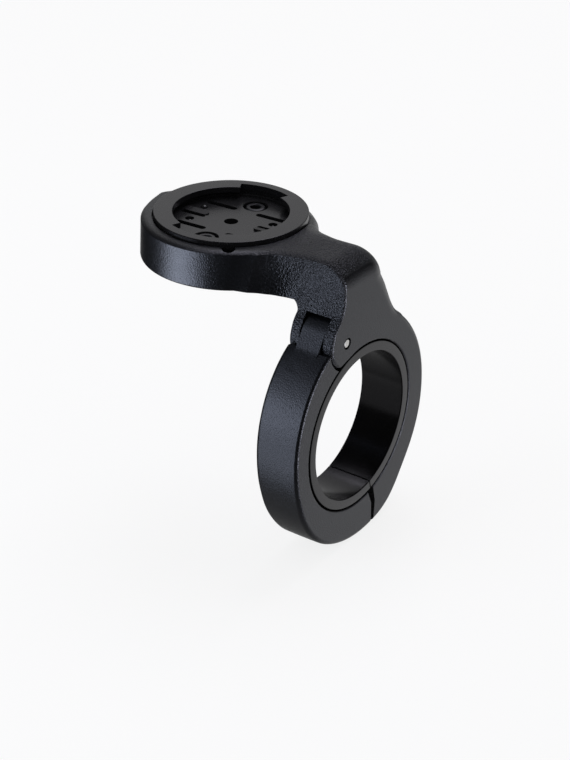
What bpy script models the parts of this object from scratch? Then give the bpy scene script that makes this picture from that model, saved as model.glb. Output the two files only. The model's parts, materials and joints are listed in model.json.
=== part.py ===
# Over-stem handlebar mount for a bike computer, sizes in millimetres scaled to metres.
# Origin on the bar axis in the middle of the clamp, bar along X, top of the cup facing +Z.
import math

import bmesh
import bpy
from mathutils import Matrix, Vector

MM = 0.001

# Handlebar clamp
BAR_R = 15.9
LINER_WALL = 2.1
LINER_GAP = 0.35
CLAMP_W = 10.28
LINER_W = 10.2
RING_R = 24.4
STRAP_DRAFT = 0.3

# Arm and cup
BEND_TOP = 38.0
BEND_R = 5.3
CORNER_R = 1.4
ARM_FRONT = 7.65
ARM_BACK = 6.0
ARM_UNDER = 28.1
CUP_X = -27.65
CUP_R = 18.0
CUP_FLARE = 0.5
CUP_UNDER = 29.7
BULL_R = 4.8

# Computer receptacle
INSERT_R = 15.72
INSERT_TOP = 38.88
FLANGE_H = 1.65
PLUG_R = 14.3
MOUTH_R = 11.83
TRACK_R = 14.0
INSERT_TURN = 3.5
LIP_H = 1.2
RECESS_H = 2.5
FLOOR_H = 3.0
NOTCH_DEG = 49.0
NOTCH_R = 13.8
SIDE_SLOT_W = 1.4
SIDE_SLOT_Y = 5.75
SIDE_SLOT_IN = 2.4
SIDE_SLOT_OUT = 9.6
MID_SLOT_W = 1.0
MID_SLOT_Y = 0.85
MID_SLOT_IN = 5.8
MID_SLOT_OUT = 11.6
BAR_W = 1.5
BAR_RISE = 0.4
CENTRE_HOLE_R = 1.45
NUB_X = 8.5
NUB_Y = 2.9
NUB_R = 0.75
NUB_H = 0.5
EYE_X = 7.9
EYE_Y = 3.3
EYE_R = 0.95
LEDGE_R = 13.2
LEDGE_RISE = 0.45
INSERT_SCREW_Y = 9.15
INSERT_HEAD_R = 2.25
INSERT_HEAD_H = 1.4
INSERT_SHANK_R = 1.0
INSERT_SCREW_L = 3.6
RIM_HOLE_R = 1.35
RIM_HOLE_AT = 16.8
RIM_HOLE_DEG = -54.8
RIM_HOLE_DEEP = 3.0

# Hinge
PIN_Y = -6.0
PIN_Z = 21.3
PIN_R = 0.92
EAR_R = 5.15
KNUCKLE_R = 5.2
KNUCKLE_HEEL_R = 3.7
KNUCKLE_W = 5.2
SLOT_W = 5.8

# Clamp screw and nut
SCREW_Y = 5.85
SCREW_Z = -20.8
SCREW_R = 1.5
SCREW_GRIP = 5.0
SCREW_REACH = 6.5
HEAD_R = 2.75
HEAD_H = 3.0
KEY_AF = 2.5
NUT_AF = 5.5
NUT_H = 2.4
NUT_AT = 3.6

# Clearances
GAP = 0.3
HINGE_GAP = 0.5
SWING_GAP = 0.45
NUT_GAP = 0.22

LINER_R = BAR_R + LINER_WALL
BORE_R = LINER_R + LINER_GAP
HALF_W = CLAMP_W / 2
SLOT_R = KNUCKLE_R + 0.6
PIN = Vector((0, PIN_Y, PIN_Z))
SCREW_AT = Vector((0, SCREW_Y, SCREW_Z))
SCREW_DIR = Vector((0, -SCREW_Z, SCREW_Y)).normalized()


def clear_scene():
    for obj in list(bpy.data.objects):
        bpy.data.objects.remove(obj, do_unlink=True)


def material(name, colour, roughness, metallic=0.0):
    made = bpy.data.materials.new(name)
    made.use_nodes = True
    shader = made.node_tree.nodes["Principled BSDF"]
    shader.inputs["Base Color"].default_value = (*colour, 1.0)
    shader.inputs["Roughness"].default_value = roughness
    shader.inputs["Metallic"].default_value = metallic
    made.diffuse_color = (*colour, 1.0)
    return made


def add_object(name, bm, finish=None, smooth=35):
    bmesh.ops.remove_doubles(bm, verts=bm.verts, dist=0.002 * MM)
    bmesh.ops.recalc_face_normals(bm, faces=bm.faces)
    mesh = bpy.data.meshes.new(name)
    bm.to_mesh(mesh)
    bm.free()
    obj = bpy.data.objects.new(name, mesh)
    bpy.context.scene.collection.objects.link(obj)
    if finish:
        mesh.materials.append(finish)
        mesh.shade_smooth()
        mesh.set_sharp_from_angle(angle=math.radians(smooth))
    return obj


def helper(obj):
    obj.hide_render = True
    obj.display_type = "WIRE"
    return obj


def boolean(obj, other, operation="DIFFERENCE"):
    step = obj.modifiers.new(other.name, "BOOLEAN")
    step.object = helper(other)
    step.operation = operation
    step.solver = "EXACT"


def lerp(table, at):
    """Smooth value at a place in a table of (place, value) rows."""
    places = [row[0] for row in table]
    if at <= places[0]:
        return table[0][1]
    if at >= places[-1]:
        return table[-1][1]
    i = max(k for k in range(len(places) - 1) if places[k] <= at)
    slope = [0.0] * len(table)
    for k in range(1, len(table) - 1):
        slope[k] = (table[k + 1][1] - table[k - 1][1]) / (places[k + 1] - places[k - 1])
    width = places[i + 1] - places[i]
    t = (at - places[i]) / width
    a, b = table[i][1], table[i + 1][1]
    return (
        a * (1 + 2 * t) * (1 - t) ** 2
        + b * t * t * (3 - 2 * t)
        + width * slope[i] * t * (1 - t) ** 2
        - width * slope[i + 1] * t * t * (1 - t)
    )


def loft(name, loops, finish=None, smooth=35):
    """One closed body through a row of closed loops, with its two ends filled."""
    bm = bmesh.new()
    rows = [[bm.verts.new(Vector(p) * MM) for p in loop] for loop in loops]
    count = len(rows[0])
    for near, far in zip(rows, rows[1:]):
        for k in range(count):
            n = (k + 1) % count
            bm.faces.new((near[k], near[n], far[n], far[k]))
    bm.faces.new(rows[0])
    bm.faces.new(rows[-1][::-1])
    return add_object(name, bm, finish, smooth)


def section(fo, bo, bi, fi, crest, bull, heel, lean=1.0):
    """Rounded four-sided section from its front and back corners on the outer and inner faces."""
    fo, bo, bi, fi = Vector(fo), Vector(bo), Vector(bi), Vector(fi)
    depth = (fo - bo).length
    thick = ((fo - fi).length + (bo - bi).length) / 2
    wide, drop = min(crest[0], depth * 0.3), min(crest[1], thick * 0.3)
    deep = min(bull, thick * 0.6)
    bull = min(bull * lean, depth * 0.42)
    heel = min(heel, depth * 0.3, thick * 0.35)
    flat = [(0.0, thick - drop)]
    flat += [(wide * t, thick - drop * (1 - t) ** 2) for t in (0.3, 0.62, 1.0)]
    for k in range(9):
        a = math.pi / 2 * (1 - k / 8)
        flat.append((depth - bull * (1 - math.cos(a)), thick - deep * (1 - math.sin(a))))
    for k in range(4):
        a = -math.pi / 2 * k / 3
        flat.append((depth - heel * (1 - math.cos(a)), heel * (1 + math.sin(a))))
    chamfer = min(0.4, depth * 0.1)
    flat += [(chamfer, 0.0), (0.0, chamfer)]
    loop = []
    for s, h in flat:
        u, v = s / depth, h / thick
        outer = fo.lerp(bo, u)
        inner = fi.lerp(bi, u)
        loop.append(inner.lerp(outer, v))
    return loop


def ring_point(radius, degrees, x=0.0):
    a = math.radians(degrees)
    return Vector((x, radius * math.cos(a), radius * math.sin(a)))


def polygon_bar(name, points, x0, x1):
    """Prism along X over points given as (y, z)."""
    return loft(name, [[(x, y, z) for y, z in points] for x in (x0, x1)])


def disc(name, radius, start, end, sides=48, turn=0.0):
    """Prism with many sides from one end point to the other."""
    start, end = Vector(start), Vector(end)
    axis = (end - start).normalized()
    across = axis.orthogonal().normalized()
    if abs(axis.x) < 0.5:
        across = Vector((1, 0, 0))
    up = axis.cross(across)
    loops = []
    for centre in (start, end):
        loop = []
        for k in range(sides):
            a = 2 * math.pi * k / sides + turn
            loop.append(centre + across * radius * math.cos(a) + up * radius * math.sin(a))
        loops.append(loop)
    return loft(name, loops)


def turned(name, profile, sides, finish, place=None, smooth=35):
    """Body turned about its own Z from a profile of (radius, height), then placed by a matrix."""
    bm = bmesh.new()
    rows = []
    for radius, height in profile:
        if radius == 0:
            rows.append([bm.verts.new((0, 0, height * MM))])
            continue
        row = []
        for k in range(sides):
            a = 2 * math.pi * k / sides
            row.append(bm.verts.new((radius * math.cos(a) * MM, radius * math.sin(a) * MM, height * MM)))
        rows.append(row)
    for near, far in zip(rows, rows[1:]):
        for k in range(sides):
            n = (k + 1) % sides
            corners = [near[k % len(near)], near[n % len(near)], far[n % len(far)], far[k % len(far)]]
            face = []
            for corner in corners:
                if corner not in face:
                    face.append(corner)
            if len(face) > 2:
                bm.faces.new(face)
    obj = add_object(name, bm, finish, smooth)
    if place:
        obj.matrix_world = place
    return obj


# Back edge of the arm, as the depth y for a height z
BACK = [
    (17.0, 17.9),
    (18.7, 16.1),
    (21.0, 13.4),
    (24.0, 11.5),
    (27.3, 10.15),
    (29.4, 9.5),
    (32.7, 7.9),
]
BACK_ROUND = [(17.0, 1.9), (21.0, 2.4), (24.0, 2.8), (27.0, 3.3), (29.4, 4.0), (33.0, 4.7)]

# Rise of the outline over the ring, for an angle round the bar: the body's end, then the strap
BODY_RISE = [
    (-77.0, 2.75),
    (-69.0, 2.9),
    (-62.0, 2.65),
    (-55.0, 1.95),
    (-48.0, 1.2),
    (-40.0, 0.75),
    (-20.0, 0.35),
    (5.0, 0.0),
]
STRAP_RISE = [
    (112.0, -0.2),
    (125.0, -0.3),
    (142.0, -0.8),
    (160.0, -1.4),
    (182.0, -1.75),
    (202.0, -1.4),
    (217.0, -0.5),
    (240.0, 1.0),
    (262.0, 2.05),
    (283.0, 2.75),
    (291.0, 2.8),
]


def body_stations():
    """Sections from the lower split, up the ring and the arm, round the bend and across the cup."""
    x = HALF_W
    rows = []
    # Rear half of the ring
    for k in range(20):
        a = -77.0 + 6.65 * k
        near = ring_point(BORE_R, a)
        far = ring_point(RING_R + lerp(BODY_RISE, a), a)
        rows.append((near, far, far, near, (0.4, 0.3), lerp([(-70.0, 0.95), (0.0, 1.2), (50.0, 1.6)], a), 1.1))
    # Leg, fanned from the bore and round the ear to the back edge
    ear = []
    for a in (58.0, 69.0, 80.0, 91.0, 102.0):
        ear.append(ring_point(BORE_R, a))
    for a in (-117.0, -131.0, -146.0, -161.0, -176.0, 167.0, 152.0):
        ear.append(PIN + ring_point(EAR_R, a))
    for y, z in ((-9.95, 25.2), (-9.35, 25.9), (-8.85, 26.4)):
        ear.append(Vector((0, y, z)))
    for k, front in enumerate(ear):
        t = k / (len(ear) - 1)
        top = 19.0 + 13.0 * (1 - (1 - t) ** 1.5)
        under = 19.0 + (ARM_UNDER - CORNER_R - 19.2) * (1 - (1 - t) ** 2)
        back = Vector((0, lerp(BACK, top), top))
        hidden = Vector((0, lerp(BACK, under), under))
        rows.append((front, back, hidden, front, (0.4, 0.4), lerp(BACK_ROUND, top), 1.5))
    loops = []
    for fo, bo, bi, fi, crest, bull, heel in rows:
        side = Vector((x, 0, 0))
        loops.append(section(fo + side, bo + side, bi - side, fi - side, crest, bull, heel))
    # Bend
    hub_x, hub_z = HALF_W - BEND_R, BEND_TOP - BEND_R
    in_x, in_z = -HALF_W - CORNER_R, ARM_UNDER - CORNER_R
    for k in range(10):
        a = math.pi / 2 * k / 9
        ox, oz = hub_x + BEND_R * math.cos(a), hub_z + BEND_R * math.sin(a)
        ix, iz = in_x + CORNER_R * math.cos(a), in_z + CORNER_R * math.sin(a)
        back = ARM_BACK + 1.9 * (1 - math.sin(a)) ** 0.85
        hidden = 8.4 + 2.1 * (1 - math.sin(a))
        front = (ox, -ARM_FRONT - 0.1 * math.cos(a), oz)
        corner = (ix, -ARM_FRONT - 1.1 * math.cos(a), iz)
        soft = 0.4 + 1.2 * math.sin(a)
        crest = (soft, 0.4 + 0.1 * math.sin(a))
        loops.append(section(front, (ox, back, oz), (ix, hidden, iz), corner, crest, BULL_R, 1.5))
    # Arm, widening on both sides into the cup
    arm = (
        (-2.6, -7.7, 5.95, 1.0, -8.0, -8.5, 8.7, ARM_UNDER + 0.1),
        (-5.0, -7.95, 6.05, 1.05, -9.3, -9.3, 9.1, ARM_UNDER + 0.3),
        (-7.2, -8.55, 6.6, 1.1, -10.4, -10.1, 9.5, ARM_UNDER + 0.6),
        (-9.2, -9.45, 7.2, 1.2, -11.4, -11.0, 10.1, ARM_UNDER + 0.85),
        (-11.2, -10.7, 8.2, 1.3, -12.6, -12.0, 11.0, ARM_UNDER + 1.1),
        (-13.2, -12.3, 9.65, 1.35, -14.0, -13.3, 12.1, ARM_UNDER + 1.3),
    )
    for ox, front, back, lean, ix, low_front, low_back, under in arm:
        fo, bo = (ox, front, BEND_TOP), (ox, back, BEND_TOP)
        bi, fi = (ix, low_back, under), (ix, low_front, under)
        loops.append(section(fo, bo, bi, fi, (1.8, 0.5), BULL_R, 1.5, lean))
    # Cup, in sections that fan round to its far end
    steps = 20
    for k in range(steps + 1):
        t = k / steps
        ease = math.sin(t * math.pi / 2) ** 1.15
        front = -52.0 - (123.5 * ease)
        back = 47.0 + (128.5 * ease)
        high = CUP_R + 0.65 * (1 - t) ** 1.5
        low = CUP_R + CUP_FLARE
        corners = []
        for radius, a, z in (
            (high, front, BEND_TOP),
            (CUP_R - 0.15 + 0.3 * t, back, BEND_TOP),
            (low, back, CUP_UNDER),
            (low, front, CUP_UNDER),
        ):
            r = math.radians(a)
            corners.append((CUP_X + radius * math.cos(r), radius * math.sin(r), z))
        across = (Vector(corners[1]) - Vector(corners[0])).normalized()
        square = across.x * math.cos(math.radians(back)) + across.y * math.sin(math.radians(back))
        bull = BULL_R * (1 - 0.8 * t**3)
        loops.append(section(*corners, (1.8, 0.5), bull, 1.2, 1 / max(square, 0.45)))
    return loops


def make_body(finish):
    body = loft("mount_body", body_stations(), finish)
    # Hinge slot and pin hole
    x = SLOT_W / 2
    boolean(body, disc("slot_round", SLOT_R, PIN - Vector((x, 0, 0)), PIN + Vector((x, 0, 0)), 56))
    front = PIN_Y - EAR_R - 4
    mouth = [(PIN_Y, PIN_Z - SLOT_R), (front, PIN_Z - SLOT_R), (front, PIN_Z + SLOT_R), (PIN_Y, PIN_Z + SLOT_R)]
    boolean(body, polygon_bar("slot_mouth", mouth, -x, x))
    reach = Vector((CLAMP_W, 0, 0))
    boolean(body, disc("pin_hole", PIN_R + GAP, PIN - reach, PIN + reach, 28))
    # Lower split face
    face = [(4.0, -14.0), (5.0, -14.0), (6.75, -21.4), (6.25, -30.0), (-8.0, -30.0), (-8.0, -14.0)]
    boolean(body, polygon_bar("body_split", face, -CLAMP_W, CLAMP_W))
    # Seat of the insert
    top = BEND_TOP + 4
    seat = INSERT_TOP - FLANGE_H - GAP
    floor = INSERT_TOP - RECESS_H - FLOOR_H - GAP
    boolean(body, disc("flange_seat", INSERT_R + GAP, (CUP_X, 0, seat), (CUP_X, 0, top), 72))
    boolean(body, disc("plug_pocket", PLUG_R + GAP, (CUP_X, 0, floor), (CUP_X, 0, top), 72))
    for side in (-1, 1):
        x, y = insert_screw_place(side)
        deep = INSERT_TOP - RECESS_H - INSERT_HEAD_H - INSERT_SCREW_L - 2 * GAP
        boolean(body, disc(f"pilot_{side}", INSERT_SHANK_R + GAP, (x, y, deep), (x, y, top), 20))
    a = math.radians(RIM_HOLE_DEG)
    hx, hy = CUP_X + RIM_HOLE_AT * math.cos(a), RIM_HOLE_AT * math.sin(a)
    boolean(body, disc("rim_hole", RIM_HOLE_R, (hx, hy, BEND_TOP - RIM_HOLE_DEEP), (hx, hy, top), 24))
    # Clamp screw hole and nut pocket
    hole_end = SCREW_AT + SCREW_DIR * 16
    boolean(body, disc("swing_hole", SCREW_R + SWING_GAP, SCREW_AT - SCREW_DIR * 6, hole_end, 24))
    across = (NUT_AF / 2 + NUT_GAP) / math.cos(math.pi / 6)
    boolean(body, disc("nut_pocket", across, SCREW_AT + SCREW_DIR * (NUT_AT - GAP), hole_end, 6))
    return body


def make_strap(finish):
    loops = []
    side = Vector((HALF_W, 0, 0))
    for k in range(28):
        a = 112.0 + 6.63 * k
        near = ring_point(BORE_R, a)
        rim = RING_R + lerp(STRAP_RISE, a)
        outer = ring_point(rim, a)
        far = ring_point(rim - STRAP_DRAFT, a)
        soft = lerp([(112.0, 0.9), (180.0, 1.0), (240.0, 1.1), (290.0, 1.1)], a)
        loops.append(section(near + side, outer + side, far - side, near - side, (0.4, 0.3), soft, 1.0))
    strap = loft("clamp_strap", loops, finish)
    # Shoulders clear of the ears
    x = KNUCKLE_W / 2
    lift = EAR_R + HINGE_GAP
    boolean(strap, disc("shoulder_cut", lift, PIN - 3 * side, PIN + 3 * side, 64))
    over = [(-30.0, PIN_Z - 0.5), (-30.0, 40.0), (0.0, 40.0), (0.0, PIN_Z - 0.5)]
    boolean(strap, polygon_bar("shoulder_top", over, -CLAMP_W, CLAMP_W))
    # Knuckle with its heel kept inside the swing clear of the liner
    points = []
    for k in range(29):
        a = math.radians(45.0 + 197.0 * k / 28)
        points.append((PIN_Y + KNUCKLE_R * math.cos(a), PIN_Z + KNUCKLE_R * math.sin(a)))
    for k in range(12):
        a = math.radians(250.0 + 147.0 * k / 11)
        points.append((PIN_Y + KNUCKLE_HEEL_R * math.cos(a), PIN_Z + KNUCKLE_HEEL_R * math.sin(a)))
    boolean(strap, polygon_bar("knuckle", points, -x, x), "UNION")
    # Web that carries the strap's outer face on into the knuckle
    low, high = 130.0, 119.0
    web = [ring_point(BORE_R + 0.05, low), ring_point(BORE_R + 0.05, high)]
    web += [PIN + ring_point(KNUCKLE_R * 0.55, -100.0), PIN + ring_point(KNUCKLE_R * 0.55, 100.0)]
    web += [PIN + ring_point(KNUCKLE_R - 0.03, 172.0)]
    web += [ring_point(RING_R + lerp(STRAP_RISE, a) - 0.15, a) for a in (123.5, 126.5, low)]
    boolean(strap, polygon_bar("knuckle_web", [(p.y, p.z) for p in web], -x, x), "UNION")
    boolean(strap, disc("knuckle_bore", PIN_R + GAP, PIN - side, PIN + side, 28))
    # Split face
    face = [(4.0, -14.0), (3.4, -16.0), (5.6, -21.0), (5.75, -30.0), (22.0, -30.0), (22.0, -14.0)]
    boolean(strap, polygon_bar("strap_split", face, -CLAMP_W, CLAMP_W))
    # Screw hole and head seat
    seat = SCREW_AT - SCREW_DIR * SCREW_GRIP
    mouth = SCREW_AT - SCREW_DIR * 24
    boolean(strap, disc("screw_hole", SCREW_R + GAP, SCREW_AT + SCREW_DIR * 3, mouth, 24))
    boolean(strap, disc("head_seat", HEAD_R + GAP, seat, mouth, 32))
    return strap


def make_liner(finish):
    half = LINER_W / 2
    bevel = 0.25
    loops = []
    slit = math.degrees(math.atan2(SCREW_Z, SCREW_Y))
    half_slit = 0.55
    for k in range(85):
        a = slit + half_slit + (360 - 2 * half_slit) * k / 84
        loop = []
        for radius, x in (
            (BAR_R, -half + bevel),
            (BAR_R, half - bevel),
            (BAR_R + 0.5 * bevel, half),
            (LINER_R - 0.2, half),
            (LINER_R, half - 0.2),
            (LINER_R, -half + 0.2),
            (LINER_R - 0.2, -half),
            (BAR_R + 0.5 * bevel, -half),
        ):
            loop.append(ring_point(radius, a, x))
        loops.append(loop)
    return loft("bar_liner", loops, finish)


def along(point, direction):
    """Matrix that stands a turned body on a point with its Z along a direction."""
    turn = direction.to_track_quat("Z", "X").to_matrix().to_4x4()
    return Matrix.Translation(Vector(point) * MM) @ turn


def make_pin(finish):
    half = HALF_W - 0.1
    profile = [(0, -half), (PIN_R - 0.2, -half), (PIN_R, -half + 0.2), (PIN_R, half - 0.2), (PIN_R - 0.2, half), (0, half)]
    return turned("hinge_pin", profile, 28, finish, along(PIN, Vector((1, 0, 0))))


def make_clamp_screw(finish):
    reach = SCREW_GRIP + SCREW_REACH - GAP
    profile = [
        (0, reach),
        (SCREW_R - 0.4, reach),
        (SCREW_R, reach - 0.4),
        (SCREW_R, 0),
        (HEAD_R, 0),
        (HEAD_R, -HEAD_H + 0.3),
        (HEAD_R - 0.3, -HEAD_H),
        (0, -HEAD_H),
    ]
    place = along(SCREW_AT - SCREW_DIR * (SCREW_GRIP + GAP), SCREW_DIR)
    screw = turned("clamp_screw", profile[::-1], 32, finish, place)
    key = disc("key_socket", KEY_AF / 2 / math.cos(math.pi / 6), (0, 0, -HEAD_H - 1), (0, 0, -HEAD_H + 1.6), 6)
    key.parent = screw
    boolean(screw, key)
    return screw


def make_nut(finish):
    across = NUT_AF / 2 / math.cos(math.pi / 6)
    start = SCREW_AT + SCREW_DIR * NUT_AT
    nut = disc("clamp_nut", across, start, start + SCREW_DIR * NUT_H, 6)
    nut.data.materials.append(finish)
    end = start + SCREW_DIR * (NUT_H + 2)
    boolean(nut, disc("nut_bore", SCREW_R + GAP, start - SCREW_DIR * 2, end, 24))
    return nut


def insert_screw_place(side):
    """Centre of one insert screw, turned with the insert."""
    a = math.radians(90.0 * side + INSERT_TURN)
    return CUP_X + INSERT_SCREW_Y * math.cos(a), INSERT_SCREW_Y * math.sin(a)


def sector(inner, outer, middle, spread, steps):
    """Outline of a ring sector as (x, y) points about the middle."""
    angles = [math.radians(middle + spread * (k / steps - 0.5)) for k in range(steps + 1)]
    points = [(outer * math.cos(a), outer * math.sin(a)) for a in angles]
    return points + [(inner * math.cos(a), inner * math.sin(a)) for a in angles[::-1]]


def upright(name, points, low, high):
    """Prism along Z over points given as (x, y)."""
    return loft(name, [[(x, y, z) for x, y in points] for z in (low, high)])


def obround(start, end, y, width):
    """Outline of a slot with round ends, along X."""
    r = width / 2
    low, high = sorted((start, end))
    points = []
    for k in range(7):
        a = math.radians(-90.0 + 30.0 * k)
        points.append((high - r + r * math.cos(a), y + r * math.sin(a)))
    for k in range(7):
        a = math.radians(90.0 + 30.0 * k)
        points.append((low + r + r * math.cos(a), y + r * math.sin(a)))
    return points


def dome(name, radius, height, x, y, z):
    rows = [(0, -0.6), (radius, -0.6), (radius * 0.94, height * 0.35), (radius * 0.7, height * 0.75), (0, height)]
    return turned(name, rows, 14, None, Matrix.Translation(Vector((x, y, z)) * MM))


def make_insert(finish):
    """Quarter-turn receptacle, built about its own centre and then turned into place."""
    top, mouth = INSERT_TOP, INSERT_TOP - RECESS_H
    under = mouth - FLOOR_H
    flange = top - FLANGE_H
    profile = [
        (0, under),
        (PLUG_R - 0.3, under),
        (PLUG_R, under + 0.3),
        (PLUG_R, flange),
        (INSERT_R, flange),
        (INSERT_R, top - 0.12),
        (INSERT_R - 0.12, top),
        (MOUTH_R + 0.1, top),
        (MOUTH_R, top - 0.1),
        (MOUTH_R, top - LIP_H),
        (TRACK_R, top - LIP_H),
        (TRACK_R, mouth + LEDGE_RISE),
        (LEDGE_R, mouth + LEDGE_RISE),
        (LEDGE_R, mouth),
        (0, mouth),
    ]
    insert = turned("bayonet_insert", profile, 72, finish)
    cutters = []
    for side in (-1, 1):
        # Slots that free a spring tongue with a raised detent bar
        for row in (-1, 1):
            slot = obround(side * SIDE_SLOT_IN, side * SIDE_SLOT_OUT, row * SIDE_SLOT_Y, SIDE_SLOT_W)
            cutters.append((upright(f"side_slot_{side}_{row}", slot, under - 1, mouth + 1), "DIFFERENCE"))
        y = side * MID_SLOT_Y
        slot = obround(side * MID_SLOT_IN, side * MID_SLOT_OUT, y, MID_SLOT_W)
        cutters.append((upright(f"mid_slot_{side}", slot, under - 1, mouth + 1), "DIFFERENCE"))
        near, far = y - side * (MID_SLOT_W / 2 + 0.05), y - side * (MID_SLOT_W / 2 + 0.05 + BAR_W)
        bar = [(side * MID_SLOT_IN, near), (side * MID_SLOT_IN, far), (side * MID_SLOT_OUT, far), (side * MID_SLOT_OUT, near)]
        cutters.append((upright(f"detent_bar_{side}", bar, mouth - 0.5, mouth + BAR_RISE), "UNION"))
        cutters.append((dome(f"nub_{side}", NUB_R, NUB_H, side * NUB_X, -side * NUB_Y, mouth), "UNION"))
        eye = (side * EYE_X, side * EYE_Y)
        cutters.append((disc(f"eye_{side}", EYE_R, (*eye, mouth - 0.7), (*eye, mouth + 1), 20), "DIFFERENCE"))
        cutters.append((dome(f"eye_dome_{side}", EYE_R * 0.55, 0.45, *eye, mouth - 0.7), "UNION"))
        # Screw seat with a chamfered rim
        y = side * INSERT_SCREW_Y
        seat = mouth - INSERT_HEAD_H - 2 * GAP
        r = INSERT_HEAD_R + 0.4
        ring = [(0, seat), (r, seat), (r, mouth - 0.35), (r + 0.7, mouth + 0.35), (0, mouth + 0.35)]
        cutters.append((turned(f"head_seat_{side}", ring, 28, None, Matrix.Translation(Vector((0, y, 0)) * MM)), "DIFFERENCE"))
        cutters.append((disc(f"shank_hole_{side}", INSERT_SHANK_R + GAP, (0, y, under - 1), (0, y, top), 20), "DIFFERENCE"))
    cutters.append((disc("centre_hole", CENTRE_HOLE_R, (0, 0, mouth - 2), (0, 0, top), 24), "DIFFERENCE"))
    for side in (-1, 1):
        # Entry notch for one of the computer's lugs, over the raised ledge that runs round the track
        wedge = sector(8.0, NOTCH_R, 90.0 * side, NOTCH_DEG, 10)
        cutters.append((upright(f"notch_{side}", wedge, top - LIP_H - 0.5, top + 2), "DIFFERENCE"))
    place = Matrix.Translation((CUP_X * MM, 0, 0)) @ Matrix.Rotation(math.radians(INSERT_TURN), 4, "Z")
    insert.matrix_world = place
    for cutter, operation in cutters:
        cutter.matrix_world = place @ cutter.matrix_world
        boolean(insert, cutter, operation)
    return insert


def make_insert_screws(finish):
    profile = [
        (0, -INSERT_SCREW_L),
        (INSERT_SHANK_R - 0.3, -INSERT_SCREW_L),
        (INSERT_SHANK_R, -INSERT_SCREW_L + 0.4),
        (INSERT_SHANK_R, 0),
        (INSERT_HEAD_R - 0.1, 0),
        (INSERT_HEAD_R, 0.2),
        (INSERT_HEAD_R * 0.93, INSERT_HEAD_H * 0.55),
        (INSERT_HEAD_R * 0.72, INSERT_HEAD_H * 0.88),
        (INSERT_HEAD_R * 0.45, INSERT_HEAD_H),
        (0, INSERT_HEAD_H),
    ]
    seat = INSERT_TOP - RECESS_H - INSERT_HEAD_H - GAP
    for number, side in ((1, -1), (2, 1)):
        place = Matrix.Translation(Vector((*insert_screw_place(side), seat)) * MM)
        screw = turned(f"insert_screw_{number}", profile, 28, finish, place)
        socket = disc(f"insert_key_{number}", 1.3, (0, 0, INSERT_HEAD_H - 1.0), (0, 0, INSERT_HEAD_H + 1), 6)
        socket.parent = screw
        boolean(screw, socket)


def main():
    clear_scene()
    shell = material("moulded_black", (0.016, 0.017, 0.02), 0.42)
    lining = material("liner_black", (0.02, 0.02, 0.021), 0.5)
    insert = material("insert_black", (0.017, 0.017, 0.018), 0.38)
    steel = material("pin_steel", (0.72, 0.72, 0.7), 0.25, 1.0)
    dark_steel = material("screw_black", (0.05, 0.05, 0.052), 0.35, 1.0)
    body = make_body(shell)
    strap = make_strap(shell)
    make_liner(lining)
    pin = make_pin(steel)
    screw = make_clamp_screw(dark_steel)
    make_nut(steel)
    make_insert(insert)
    make_insert_screws(dark_steel)
    # The strap's origin lies on the hinge axis, and the clamp screw rides in the strap
    strap.data.transform(Matrix.Translation(-PIN * MM))
    strap.location = PIN * MM
    bpy.context.view_layer.update()


main()
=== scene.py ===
import json
import math

import bmesh
import bpy
from mathutils import Matrix, Vector

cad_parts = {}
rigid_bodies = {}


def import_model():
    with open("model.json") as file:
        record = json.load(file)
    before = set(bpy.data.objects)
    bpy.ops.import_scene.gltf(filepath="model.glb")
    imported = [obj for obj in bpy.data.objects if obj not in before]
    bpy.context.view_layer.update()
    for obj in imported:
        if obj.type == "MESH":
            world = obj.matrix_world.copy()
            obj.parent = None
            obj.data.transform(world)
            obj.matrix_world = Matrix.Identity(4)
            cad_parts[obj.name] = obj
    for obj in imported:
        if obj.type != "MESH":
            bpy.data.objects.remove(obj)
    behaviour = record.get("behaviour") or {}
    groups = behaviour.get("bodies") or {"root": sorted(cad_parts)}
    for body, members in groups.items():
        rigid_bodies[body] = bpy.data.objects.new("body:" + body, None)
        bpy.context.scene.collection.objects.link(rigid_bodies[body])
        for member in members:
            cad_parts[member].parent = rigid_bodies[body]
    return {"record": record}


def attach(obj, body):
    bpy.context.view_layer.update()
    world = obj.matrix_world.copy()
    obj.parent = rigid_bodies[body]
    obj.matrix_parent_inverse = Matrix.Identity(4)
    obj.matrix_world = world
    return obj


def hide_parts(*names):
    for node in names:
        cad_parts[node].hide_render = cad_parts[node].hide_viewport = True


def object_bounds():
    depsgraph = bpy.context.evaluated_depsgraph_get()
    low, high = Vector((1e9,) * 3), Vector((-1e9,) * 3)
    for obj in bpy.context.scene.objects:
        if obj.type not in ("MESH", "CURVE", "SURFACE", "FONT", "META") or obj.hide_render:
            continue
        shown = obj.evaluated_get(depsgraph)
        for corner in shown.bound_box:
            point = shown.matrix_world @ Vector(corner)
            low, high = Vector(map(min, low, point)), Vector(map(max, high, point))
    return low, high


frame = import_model()
cad_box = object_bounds()

MM = 0.001

# Meshing: points closer than these are joined, sharper edges stay hard, and how far cutters run past
JOIN_MM = 0.0015
JOIN_CARVED_MM = 0.001
SHARP_DEG = 24.0
PAST = 4.0

# Sizes in millimetres, the same as the CAD solids have

# Handlebar clamp
BAR_R = 15.9
LINER_WALL = 2.1
LINER_GAP = 0.35
CLAMP_W = 10.28
LINER_W = 10.2
LINER_SLIT_DEG = 1.1
RING_R = 24.4

# Arm and cup
BEND_TOP = 38.0
BEND_R = 5.3
CORNER_R = 1.4
ARM_FRONT = 7.65
ARM_BACK = 6.0
ARM_UNDER = 28.1
CUP_X = -27.65
CUP_R = 18.0
CUP_FLARE = 0.5
CUP_UNDER = 29.7
BULL_R = 4.8

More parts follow.
